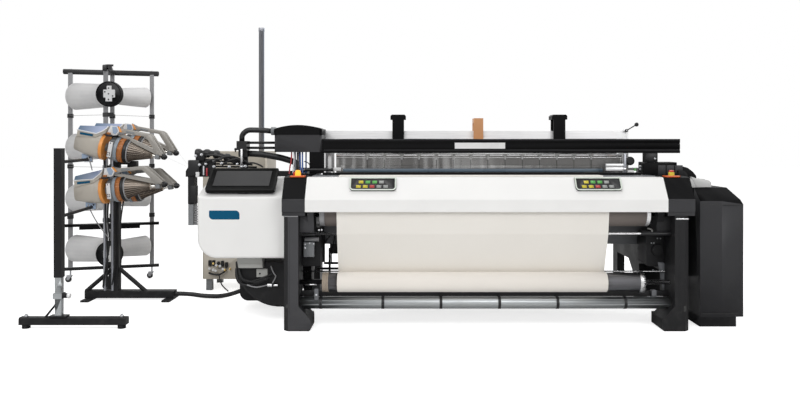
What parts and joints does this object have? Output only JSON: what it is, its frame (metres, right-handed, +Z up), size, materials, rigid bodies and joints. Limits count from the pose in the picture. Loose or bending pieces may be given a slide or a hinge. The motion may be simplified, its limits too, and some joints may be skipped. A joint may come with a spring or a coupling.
{
  "type": "power loom",
  "caption": "Wide air-jet power loom with side frames, sley and reed, heald frames, warp beam, cloth roll, weft feeders on a stand and a yarn creel.",
  "frame": {"origin": "centre of the floor under the bounding box of the loom with its feeder stand and creel", "axes": "+X to the weaver's right, +Y from the cloth side to the warp side, +Z up"},
  "size_m": [5.1582, 1.9196, 2.139],
  "materials": {
    "black_casting": "satin black paint over a cast surface",
    "black_cover": "fine-grained black powder coat",
    "white_cover": "smooth white powder coat",
    "beige_cover": "beige powder coat",
    "grey_metal": "grey paint",
    "bright_steel": "turned and ground",
    "light_alloy": "drawn light alloy",
    "roller_grip": "fine ribbed grip covering",
    "cloth": "plain woven undyed cloth",
    "warp_yarn": "parallel undyed threads",
    "black_plastic": "fine-grained moulding",
    "red_plastic": "glossy moulding",
    "feeder_shell": "beige moulding",
    "orange_plastic": "glossy orange moulding",
    "drum_metal": "hard-coated light alloy"
  },
  "bodies": {
    "loom": {"side_frame_right": "black_casting", "side_frame_left": "black_casting", "shoulder_cover_left": "black_cover", "shoulder_cover_right": "black_cover", "breast_cover": "white_cover", "key_panels": "black_plastic", "front_cross_tube": "grey_metal", "cross_beams": "grey_metal", "guide_rods": "bright_steel", "cloth_sheet": "cloth", "warp_sheet": "warp_yarn", "top_beam": "black_cover", "drive_hood": "black_cover", "hood_hoses": "black_plastic", "heald_guides": "black_cover", "left_cover": "white_cover", "terminal_bracket": "grey_metal", "nozzle_carrier": "black_casting", "supply_cabinet": "beige_cover", "signal_mast": "grey_metal", "drive_motor": "black_casting", "right_cabinet": "black_cover", "right_drive_case": "black_casting", "inner_drives": "grey_metal", "feeder_housing_1": "feeder_shell", "feeder_housing_2": "feeder_shell", "feeder_housing_3": "feeder_shell", "feeder_housing_4": "feeder_shell", "feeder_drums": "drum_metal", "feeder_stand": "black_casting", "support_stand": "black_casting", "creel_frame": "light_alloy", "yarn_packages": "warp_yarn", "creel_tray": "black_casting", "floor_hose": "black_plastic"},
    "sley": {"sley": "bright_steel", "reed": "bright_steel"},
    "heald_frame_1": {"heald_frame_1": "light_alloy"},
    "heald_frame_2": {"heald_frame_2": "light_alloy"},
    "heald_frame_3": {"heald_frame_3": "light_alloy"},
    "heald_frame_4": {"heald_frame_4": "light_alloy"},
    "warp_beam": {"warp_barrel": "bright_steel", "warp_winding": "warp_yarn"},
    "take_up_roller": {"take_up_roller": "roller_grip"},
    "press_roller": {"press_roller": "bright_steel"},
    "cloth_roll": {"cloth_barrel": "bright_steel", "cloth_winding": "cloth"},
    "whip_roller": {"whip_roller": "bright_steel"},
    "lock_lever": {"lock_lever": "bright_steel"},
    "terminal": {"terminal": "black_plastic"},
    "stop_button_left": {"stop_button_left": "red_plastic"},
    "stop_button_right": {"stop_button_right": "red_plastic"},
    "winding_ring_1": {"winding_ring_1": "orange_plastic"},
    "winding_ring_2": {"winding_ring_2": "orange_plastic"},
    "winding_ring_3": {"winding_ring_3": "orange_plastic"},
    "winding_ring_4": {"winding_ring_4": "orange_plastic"},
    "caster_fork_1": {"caster_fork_1": "bright_steel"},
    "caster_fork_2": {"caster_fork_2": "bright_steel"},
    "caster_wheel_1": {"caster_wheel_1": "black_plastic"},
    "caster_wheel_2": {"caster_wheel_2": "black_plastic"}
  },
  "joints": [
    {"name": "sley_swing", "type": "hinge", "parent": "loom", "child": "sley", "pos_m": [0.89811, -0.4398, 0.7], "axis": [1, 0, 0], "range_deg": [0, 16]},
    {"name": "heald_frame_1_lift", "type": "slide", "parent": "loom", "child": "heald_frame_1", "axis": [0, 0, 1], "range_m": [-0.04, 0.04]},
    {"name": "heald_frame_2_lift", "type": "slide", "parent": "loom", "child": "heald_frame_2", "axis": [0, 0, 1], "range_m": [-0.04, 0.04]},
    {"name": "heald_frame_3_lift", "type": "slide", "parent": "loom", "child": "heald_frame_3", "axis": [0, 0, 1], "range_m": [-0.04, 0.04]},
    {"name": "heald_frame_4_lift", "type": "slide", "parent": "loom", "child": "heald_frame_4", "axis": [0, 0, 1], "range_m": [-0.04, 0.04]},
    {"name": "warp_beam_turn", "type": "hinge", "parent": "loom", "child": "warp_beam", "pos_m": [0.89811, 0.1902, 0.5], "axis": [1, 0, 0], "continuous": true},
    {"name": "take_up_turn", "type": "hinge", "parent": "loom", "child": "take_up_roller", "pos_m": [0.89811, -0.8198, 0.74], "axis": [1, 0, 0], "continuous": true},
    {"name": "press_roller_turn", "type": "hinge", "parent": "loom", "child": "press_roller", "pos_m": [0.89811, -0.91497, 0.79], "axis": [1, 0, 0], "continuous": true},
    {"name": "cloth_roll_turn", "type": "hinge", "parent": "loom", "child": "cloth_roll", "pos_m": [0.89811, -0.8498, 0.295], "axis": [1, 0, 0], "continuous": true},
    {"name": "whip_roller_turn", "type": "hinge", "parent": "loom", "child": "whip_roller", "pos_m": [0.89811, 0.4202, 0.9259], "axis": [1, 0, 0], "continuous": true},
    {"name": "lock_lever_turn", "type": "hinge", "parent": "loom", "child": "lock_lever", "pos_m": [1.98311, -0.2818, 1.29], "axis": [0, 1, 0], "range_deg": [-90, 0]},
    {"name": "terminal_tilt", "type": "hinge", "parent": "loom", "child": "terminal", "pos_m": [-0.70189, -0.73189, 0.92926], "axis": [1, 0, 0], "range_deg": [-6, 6]},
    {"name": "stop_button_left_press", "type": "slide", "parent": "loom", "child": "stop_button_left", "axis": [0, 0, -1], "range_m": [0, 0.005], "stiffness_N_per_m": 1200},
    {"name": "stop_button_right_press", "type": "slide", "parent": "loom", "child": "stop_button_right", "axis": [0, 0, -1], "range_m": [0, 0.005], "stiffness_N_per_m": 1200},
    {"name": "winding_ring_1_turn", "type": "hinge", "parent": "loom", "child": "winding_ring_1", "pos_m": [-1.87689, -0.1098, 1.17], "axis": [0.9848, 0, -0.1736], "continuous": true},
    {"name": "winding_ring_2_turn", "type": "hinge", "parent": "loom", "child": "winding_ring_2", "pos_m": [-1.87689, 0.1802, 1.195], "axis": [0.9848, 0, -0.1736], "continuous": true},
    {"name": "winding_ring_3_turn", "type": "hinge", "parent": "loom", "child": "winding_ring_3", "pos_m": [-1.87689, -0.1098, 0.844], "axis": [0.9957, 0, 0.0924], "continuous": true},
    {"name": "winding_ring_4_turn", "type": "hinge", "parent": "loom", "child": "winding_ring_4", "pos_m": [-1.87689, 0.1802, 0.818], "axis": [0.9957, 0, 0.0924], "continuous": true},
    {"name": "caster_1_swivel", "type": "hinge", "parent": "loom", "child": "caster_fork_1", "pos_m": [-2.51789, 0.7402, 0.06], "axis": [0, 0, 1], "continuous": true},
    {"name": "caster_1_roll", "type": "hinge", "parent": "caster_fork_1", "child": "caster_wheel_1", "pos_m": [-2.53589, 0.7402, 0.026], "axis": [0, 1, 0], "continuous": true},
    {"name": "caster_2_swivel", "type": "hinge", "parent": "loom", "child": "caster_fork_2", "pos_m": [-1.88089, 0.9302, 0.06], "axis": [0, 0, 1], "continuous": true},
    {"name": "caster_2_roll", "type": "hinge", "parent": "caster_fork_2", "child": "caster_wheel_2", "pos_m": [-1.89889, 0.9302, 0.026], "axis": [0, 1, 0], "continuous": true}
  ],
  "couplings": [
    {"joint": "heald_frame_2_lift", "follows": "heald_frame_1_lift", "ratio": -1},
    {"joint": "heald_frame_3_lift", "follows": "heald_frame_1_lift", "ratio": 1},
    {"joint": "heald_frame_4_lift", "follows": "heald_frame_1_lift", "ratio": -1},
    {"joint": "take_up_turn", "follows": "warp_beam_turn", "ratio": -2.5882},
    {"joint": "press_roller_turn", "follows": "warp_beam_turn", "ratio": 11},
    {"joint": "cloth_roll_turn", "follows": "warp_beam_turn", "ratio": -3.3846},
    {"joint": "whip_roller_turn", "follows": "warp_beam_turn", "ratio": 3.8596}
  ]
}
